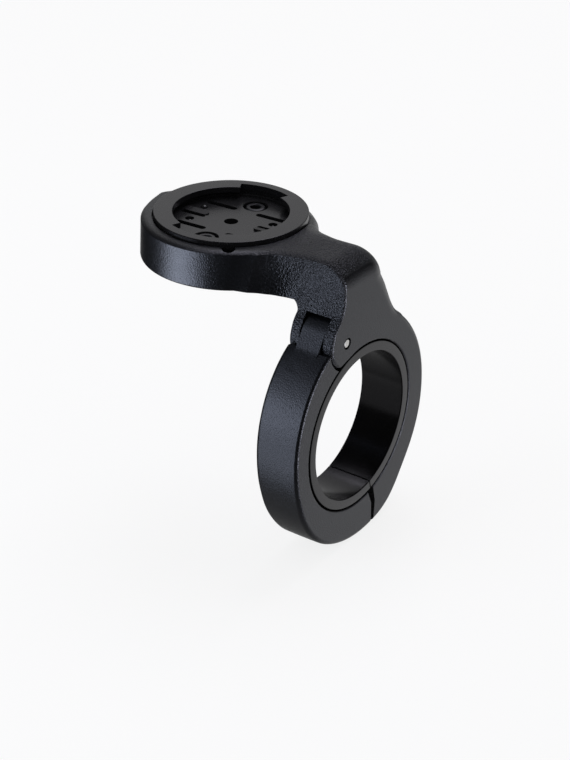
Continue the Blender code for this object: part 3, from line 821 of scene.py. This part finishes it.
def make_strap():
    """Strap with its hinge knuckle, the split and the clamp screw's holes."""
    side = Vector((HALF_W, 0, 0))
    loops = []
    for a in spread(*STRAP_ARC, 72):
        near = ring_point(BORE_R, a)
        rim = RING_R + ease(STRAP_RISE, a)
        outer = ring_point(rim, a)
        far = ring_point(rim - ease(FAR_DRAFT, a), a)
        corners = (near + side, outer + side, far - side, near - side)
        loops.append(section(*corners, RING_CREST, ease(STRAP_SOFT, a), STRAP_HEEL, crown=STRAP_CROWN))
    strap = loft("strap_moulding", loops)
    over = [(-30.0, PIN_Z - 0.5), (-30.0, 40.0), (0.0, 40.0), (0.0, PIN_Z - 0.5)]
    knuckle = [PIN + ring_point(KNUCKLE_R, a) for a in spread(45.0, 242.0, 56)]
    knuckle += [PIN + ring_point(KNUCKLE_HEEL_R, a) for a in spread(250.0, 397.0, 30)]
    # The web leaves the knuckle along its tangent and runs flush into the strap
    web = [ring_point(BORE_R + 0.05, a) for a in (WEB_LOW, WEB_HIGH)]
    web += [PIN + ring_point(KNUCKLE_R * 0.55, a) for a in (-100.0, 100.0)]
    web += [PIN + ring_point(KNUCKLE_R - 0.01, a) for a in (130.0, 138.0, 146.0)]
    web += [ring_point(RING_R + ease(STRAP_RISE, a) + rise, a) for a, rise in WEB_RISE]
    room = [PIN + ring_point(radius, a) for radius, a in SWING_ROOM]
    half = KNUCKLE_W / 2
    seat = SCREW_AT - SCREW_DIR * SCREW_GRIP
    mouth = SCREW_AT - SCREW_DIR * 24
    return carve(strap, [
        (rod("shoulder", EAR_R + HINGE_GAP, PIN - 3 * side, PIN + 3 * side, 128), "DIFFERENCE"),
        (bar_across("shoulder_top", over, CLAMP_W), "DIFFERENCE"),
        (bar_across("swing_room", [(p.y, p.z) for p in room], CLAMP_W), "DIFFERENCE"),
        (bar_across("knuckle", [(p.y, p.z) for p in knuckle], half), "UNION"),
        (bar_across("knuckle_web", [(p.y, p.z) for p in web], half), "UNION"),
        (rod("knuckle_bore", PIN_R + GAP, PIN - side, PIN + side, 40), "DIFFERENCE"),
        (bar_across("split", STRAP_SPLIT, CLAMP_W), "DIFFERENCE"),
        (rod("screw_hole", SCREW_R + GAP, SCREW_AT + SCREW_DIR * 3, mouth, 40), "DIFFERENCE"),
        (rod("head_seat", HEAD_R + GAP, seat, mouth, 56), "DIFFERENCE"),
    ])


def make_liner():
    """Thin sleeve with softened ends, slit where the clamp is split."""
    half = LINER_W / 2
    profile = [
        (BAR_R, half - 0.25),
        (BAR_R + 0.04, half - 0.1),
        (BAR_R + 0.14, half),
        (LINER_R - 0.2, half),
        (LINER_R - 0.06, half - 0.06),
        (LINER_R, half - 0.2),
    ]
    profile += [(radius, -x) for radius, x in profile[::-1]]
    slit = math.degrees(math.atan2(SCREW_Z, SCREW_Y))
    angles = spread(slit + LINER_SLIT_DEG / 2, slit + 360 - LINER_SLIT_DEG / 2, 180)
    return loft("liner_sleeve", [[ring_point(radius, a, x) for radius, x in profile] for a in angles])


def along(point, direction):
    """Matrix that stands a turned body on a point with its Z along a direction."""
    return Matrix.Translation(Vector(point) * MM) @ direction.to_track_quat("Z", "X").to_matrix().to_4x4()


def make_pin():
    """Plain pin with rounded ends."""
    half = HALF_W - 0.1
    end = [
        (0, half),
        (PIN_R - 0.28, half),
        (PIN_R - 0.12, half - 0.04),
        (PIN_R - 0.03, half - 0.14),
        (PIN_R, half - 0.28),
    ]
    profile = [(radius, -x) for radius, x in end] + end[::-1]
    return turned("hinge_pin_steel", profile, 48, along(PIN, Vector((1, 0, 0))))


def make_clamp_screw():
    """Cap screw with a hexagon socket, its head sunk in the strap."""
    reach = SCREW_GRIP + SCREW_REACH - GAP
    profile = [(0, -HEAD_H), (HEAD_R - 0.3, -HEAD_H), (HEAD_R - 0.08, -HEAD_H + 0.09)]
    profile += [(HEAD_R, -HEAD_H + 0.3), (HEAD_R, -0.05), (HEAD_R - 0.05, 0)]
    profile += [(SCREW_R, 0), (SCREW_R, SCREW_PLAIN)]
    # Thread, drawn as close rings
    at = SCREW_PLAIN
    while at < reach - 1.0:
        profile += [(SCREW_R - SCREW_THREAD_DEEP, at + SCREW_PITCH / 2), (SCREW_R, at + SCREW_PITCH)]
        at += SCREW_PITCH
    profile += [(SCREW_R - 0.4, reach), (0, reach)]
    screw = turned("clamp_screw_steel", profile, 48)
    corner = KEY_AF / 2 / math.cos(math.pi / 6)
    key = rod("key", corner, (0, 0, -HEAD_H - 1), (0, 0, -HEAD_H + KEY_DEEP), 6)
    carve(screw, [(key, "DIFFERENCE")])
    screw.data.transform(along(SCREW_AT - SCREW_DIR * (SCREW_GRIP + GAP), SCREW_DIR))
    return screw


def make_nut():
    """Hexagon nut, its corners turned off at 30 degrees on both faces."""
    across = NUT_AF / 2 / math.cos(math.pi / 6)
    start = SCREW_AT + SCREW_DIR * NUT_AT
    end = start + SCREW_DIR * NUT_H
    nut = rod("clamp_nut_steel", across, start, end, 6)
    small, wide = NUT_AF / 2 - 0.4, across + 0.3
    cone = [(0, -0.2), (small, -0.2), (wide, 0.43)]
    cone += [(radius, NUT_H - height) for radius, height in cone[::-1]]
    return carve(nut, [
        (turned("nut_cone", cone, 64, along(start, SCREW_DIR)), "INTERSECT"),
        (rod("nut_bore", SCREW_R + GAP, start - SCREW_DIR * 2, end + SCREW_DIR * 2, 40), "DIFFERENCE"),
    ])


def obround(start, end, y, width):
    """Outline of a slot with round ends, along X."""
    r = width / 2
    low, high = sorted((start, end))
    points = []
    for x, turn in ((high - r, 0.0), (low + r, math.pi)):
        for a in spread(turn - math.pi / 2, turn + math.pi / 2, 12):
            points.append((x + r * math.cos(a), y + r * math.sin(a)))
    return points


def dome(name, radius, height, x, y, z):
    """Low round bump on a face at height z."""
    rows = [(0, -0.6), (radius, -0.6)]
    rows += [(radius * math.cos(a), height * math.sin(a)) for a in spread(0.12, math.pi / 2 - 0.25, 5)]
    return turned(name, rows + [(0, height)], 28, Matrix.Translation(Vector((x, y, z)) * MM))


def sector(inner, outer, middle, width, steps=24):
    """Outline of a ring sector as (x, y) points about the middle angle in degrees."""
    angles = [math.radians(a) for a in spread(middle - width / 2, middle + width / 2, steps)]
    outside = [(outer * math.cos(a), outer * math.sin(a)) for a in angles]
    return outside + [(inner * math.cos(a), inner * math.sin(a)) for a in angles[::-1]]


def make_receptacle():
    """Quarter-turn receptacle, made about the cup's axis and then turned and moved into the cup.

    Its floor is called mouth, because the slots, nubs, eyes and screw seats open there.
    """
    top, mouth = INSERT_TOP, INSERT_TOP - RECESS_H
    under = mouth - FLOOR_H
    flange = top - FLANGE_H
    quarter = spread(0.0, math.pi / 2, 4)
    rim, edge = 0.16, 0.14
    profile = [(0, under), (PLUG_R - 0.3, under), (PLUG_R, under + 0.3)]
    profile += [(PLUG_R, flange), (INSERT_R, flange)]
    profile += [(INSERT_R - rim * (1 - math.cos(a)), top - rim * (1 - math.sin(a))) for a in quarter]
    profile += [(MOUTH_R + edge * (1 - math.sin(a)), top - edge * (1 - math.cos(a))) for a in quarter]
    profile += [(MOUTH_R, top - LIP_H), (TRACK_R, top - LIP_H), (TRACK_R, mouth + LEDGE_RISE)]
    profile += [(LEDGE_R + 0.1, mouth + LEDGE_RISE), (LEDGE_R, mouth + LEDGE_RISE - 0.12)]
    profile += [(LEDGE_R, mouth), (0, mouth)]
    receptacle = turned("receptacle", profile, 144)
    tools = []
    for side in (-1, 1):
        for row in (-1, 1):
            slot = obround(side * SIDE_SLOT_IN, side * SIDE_SLOT_OUT, row * SIDE_SLOT_Y, SIDE_SLOT_W)
            tools.append((upright("side_slot", slot, under - 1, mouth + 1), "DIFFERENCE"))
        y = side * MID_SLOT_Y
        slot = obround(side * MID_SLOT_IN, side * MID_SLOT_OUT, y, MID_SLOT_W)
        tools.append((upright("mid_slot", slot, under - 1, mouth + 1), "DIFFERENCE"))
        bar_y = y - side * (MID_SLOT_W / 2 + 0.05 + BAR_W / 2)
        bar = obround(side * MID_SLOT_IN, side * MID_SLOT_OUT, bar_y, BAR_W)
        # The bar's top slopes, one way on each side of the centre
        slope = [(px, py, mouth + BAR_RISE * (0.65 - 0.7 * side * (py - bar_y) / BAR_W)) for px, py in bar]
        foot = [(px, py, mouth - 0.5) for px, py in bar]
        tools.append((loft("detent_bar", [foot, slope]), "UNION"))
        tools.append((dome("nub", NUB_R, NUB_H, side * NUB_X, -side * NUB_Y, mouth), "UNION"))
        eye = (side * EYE_X, side * EYE_Y)
        tools.append((rod("eye", EYE_R, (*eye, mouth - EYE_DEEP), (*eye, mouth + 1), 36), "DIFFERENCE"))
        tools.append((dome("eye_dome", EYE_R * 0.55, EYE_DOME_H, *eye, mouth - EYE_DEEP), "UNION"))
        seat = mouth - INSERT_HEAD_H - 2 * GAP
        r = INSERT_HEAD_R + 0.3
        ring = [(0, seat), (r, seat), (r, mouth - 0.14), (r + 0.04, mouth - 0.06)]
        ring += [(r + 0.5, mouth + 0.4), (0, mouth + 0.4)]
        spot = (0, side * INSERT_SCREW_Y, 0)
        tools.append((turned("screw_seat", ring, 56, Matrix.Translation(Vector(spot) * MM)), "DIFFERENCE"))
        hole = [(0, side * INSERT_SCREW_Y, z) for z in (under - 1, top)]
        tools.append((rod("shank_hole", INSERT_SHANK_R + GAP, *hole, 36), "DIFFERENCE"))
    tools.append((rod("centre_hole", CENTRE_HOLE_R, (0, 0, mouth - 2), (0, 0, top), 40), "DIFFERENCE"))
    for side in (-1, 1):
        notch = sector(8.0, NOTCH_R, 90.0 * side, NOTCH_DEG)
        tools.append((upright("notch", notch, top - LIP_H - 0.5, top + 2), "DIFFERENCE"))
    carve(receptacle, tools)
    turn = Matrix.Rotation(math.radians(INSERT_TURN), 4, "Z")
    receptacle.data.transform(Matrix.Translation((CUP_X * MM, 0, 0)) @ turn)
    return receptacle


def make_receptacle_screw(number, side):
    """Small round-headed screw with a round socket, standing in its seat."""
    profile = [(0, -INSERT_SCREW_L), (INSERT_SHANK_R - 0.3, -INSERT_SCREW_L)]
    at = -INSERT_SCREW_L + 0.3
    while at < -0.7:
        profile += [(INSERT_SHANK_R, at), (INSERT_SHANK_R - INSERT_THREAD_DEEP, at + INSERT_PITCH / 2)]
        at += INSERT_PITCH
    profile += [(INSERT_SHANK_R, -0.2), (INSERT_SHANK_R, 0)]
    profile += [(INSERT_HEAD_R - 0.25, 0), (INSERT_HEAD_R - 0.15, 0.1)]
    high = INSERT_HEAD_H + GAP - 0.08
    for a in spread(0.0, math.pi / 2, 6):
        profile.append((INSERT_HEAD_R - 0.15 - 0.4 * (1 - math.cos(a)), high - 0.4 * (1 - math.sin(a))))
    profile += [(INSERT_SOCKET_R + 0.13, high), (INSERT_SOCKET_R, high - 0.1)]
    profile += [(INSERT_SOCKET_R, high - 0.9), (0, high - 1.1)]
    screw = turned(f"receptacle_screw_{number}", profile, 48)
    seat = INSERT_TOP - RECESS_H - INSERT_HEAD_H - GAP
    screw.data.transform(Matrix.Translation(Vector((*insert_screw_spot(side), seat)) * MM))
    return screw


def add_floor():
    """Pale paper that stays white to the eye and keeps a soft shadow.

    Gloss looks past it to the studio's backdrop.
    """
    mesh = bpy.data.meshes.new("studio_floor")
    outline = [(-1, -1), (1, -1), (1, 1), (-1, 1)]
    corners = [(x * PAPER_HALF_M, y * PAPER_HALF_M, FLOOR_Z * MM) for x, y in outline]
    mesh.from_pydata(corners, [], [(0, 1, 2, 3)])
    floor = bpy.data.objects.new("studio_floor", mesh)
    bpy.context.scene.collection.objects.link(floor)
    finish = Finish("studio_paper")
    finish.set(Base_Color=PAPER, Roughness=0.9, Specular_IOR_Level=0.1)
    ray = finish.node("ShaderNodeLightPath")
    seen = (ray["Is Camera Ray"] + ray["Is Transmission Ray"]).clamp(0.0, 1.0)
    glow = finish.node("ShaderNodeEmission", Strength=1.0)["Emission"]
    lit = Sock(finish.tree, finish.shader.outputs[0])
    blend = add_node(finish.tree, "ShaderNodeMixShader", None, {0: seen * PAPER_GLOW, 1: lit, 2: glow})
    finish.tree.links.new(blend.outputs[0], finish.tree.nodes["Material Output"].inputs["Surface"])
    mesh.materials.append(finish.material)
    floor.visible_glossy = False
    floor.visible_shadow = False


def add_light(name, place, size, power, colour, lit=None, aim=LAMP_AIM):
    """Area lamp. With a collection it lights only what the collection holds."""
    lamp = bpy.data.lights.new(name, "AREA")
    lamp.shape = "RECTANGLE"
    lamp.size, lamp.size_y = size
    lamp.energy = power
    lamp.color = colour
    obj = bpy.data.objects.new(name, lamp)
    bpy.context.scene.collection.objects.link(obj)
    obj.location = place
    obj.rotation_euler = (Vector(aim) - Vector(place)).to_track_quat("-Z", "Y").to_euler()
    if lit:
        obj.light_linking.receiver_collection = lit


def set_world():
    """White to the eye and an even fill on the object.

    Gloss shows a pale backdrop behind and a dim room in front.
    """
    world = bpy.data.worlds.new("studio")
    bpy.context.scene.world = world
    world.use_nodes = True
    tree = world.node_tree
    backdrop = tree.nodes["Background"]
    feed(tree, WHITE, backdrop.inputs["Color"])
    path = add_node(tree, "ShaderNodeLightPath")
    aim = Sock(tree, add_node(tree, "ShaderNodeTexCoord").outputs["Generated"])
    parts = add_node(tree, "ShaderNodeSeparateXYZ", None, {"Vector": aim})
    behind = Sock(tree, parts.outputs["Y"]).step(0.4, 0.65)
    height = Sock(tree, parts.outputs["Z"])
    side = Sock(tree, parts.outputs["X"]).step(-0.6, 0.1)
    above = MIRROR_BACK_HIGH + (MIRROR_SIDE_HIGH - MIRROR_BACK_HIGH) * side
    back = MIRROR_BACK_LOW + (above - MIRROR_BACK_LOW) * height.step(-0.3, 0.05)
    front = MIRROR_FRONT_FLOOR + (MIRROR_FRONT - MIRROR_FRONT_FLOOR) * height.step(-0.8, -0.6)
    seen = Sock(tree, path.outputs["Is Camera Ray"]) + Sock(tree, path.outputs["Is Transmission Ray"])
    glossy = Sock(tree, path.outputs["Is Glossy Ray"])
    mirrored = front + (back - front) * behind
    strength = seen.clamp(0.0, 1.0) * (1 - FILL) + FILL + glossy * (mirrored - FILL)
    feed(tree, strength, backdrop.inputs["Strength"])


def set_camera():
    """Camera where the photograph was taken from."""
    lens = bpy.data.cameras.new("photo_camera")
    lens.lens = LENS_MM
    lens.sensor_width = SENSOR_MM
    lens.clip_start = 0.01
    lens.clip_end = 20.0
    camera = bpy.data.objects.new("photo_camera", lens)
    camera.location = CAMERA_AT
    camera.rotation_euler = [math.radians(a) for a in CAMERA_TURN]
    bpy.context.scene.collection.objects.link(camera)
    bpy.context.scene.camera = camera


def add_lamps():
    """Softboxes and cards. The bore and the receptacle are flagged off from those in front."""
    add_light("top_softbox", (-0.1, 0.35, 0.75), (0.5, 0.5), 2.25, SOFTBOX_WHITE)
    lit = bpy.data.collections.new("lit_from_the_front")
    bore = bpy.data.collections.new("lit_in_the_bore")
    cup = bpy.data.collections.new("lit_on_the_cup")
    cup.objects.link(bpy.data.objects["mount_moulding"])
    for piece in bpy.data.objects:
        if piece.name == "liner_sleeve":
            bore.objects.link(piece)
        elif piece.type == "MESH" and piece.name != "receptacle":
            lit.objects.link(piece)
    for name, place, size, power, held in (
        ("front_left_softbox", (-0.375, -0.475, 0.04), (0.42, 0.32), 1.25, lit),
        ("front_left_wash", (-0.35, -0.45, 0.20), (0.42, 0.56), 0.85, lit),
        ("low_left_card", (-0.28, -0.45, -0.27), (0.40, 0.30), 0.9, lit),
        ("cup_card", (-0.28, -0.46, -0.25), (0.40, 0.26), 1.5, cup),
        ("front_top_card", (-0.33, -0.12, 0.5), (0.3, 0.3), 0.09, lit),
    ):
        add_light(name, place, size, power, SOFTBOX_BLUE, held)
    add_light("right_card", (0.56, 0.12, -0.12), (0.16, 0.36), 2.0, CARD_WHITE, lit, (0.0, 0.0, 0.01))
    add_light("bore_card", (-0.30, -0.455, -0.22), (0.5, 0.5), 0.17, WHITE, bore)


shell = moulded("moulded_black", NYLON_DARK, SHELL_PALE, 0.25, COARSE_FROM)
strap_black = moulded("strap_black", NYLON_DARK, STRAP_PALE, 0.28)
lining = smooth_moulded("liner_black", LINER_DARK, LINER_PALE, 0.18)
socket_black = smooth_moulded("receptacle_black", RECEPTACLE_DARK, RECEPTACLE_PALE, 0.24)
pin_steel = turned_steel("pin_steel", BRIGHT_STEEL, 0.22)
dark_steel = turned_steel("screw_black", BLACKED_STEEL, 0.35)

show(make_body(), "mount_body", shell)
show(make_strap(), "clamp_strap", strap_black)
show(make_liner(), "bar_liner", lining)
show(make_pin(), "hinge_pin", pin_steel)
show(make_clamp_screw(), "clamp_screw", dark_steel)
show(make_nut(), "clamp_nut", pin_steel)
show(make_receptacle(), "bayonet_insert", socket_black)
for number, side in ((1, -1), (2, 1)):
    show(make_receptacle_screw(number, side), f"insert_screw_{number}", dark_steel)

bpy.context.scene.view_settings.view_transform = "Standard"
add_floor()
set_world()
add_lamps()
set_camera()
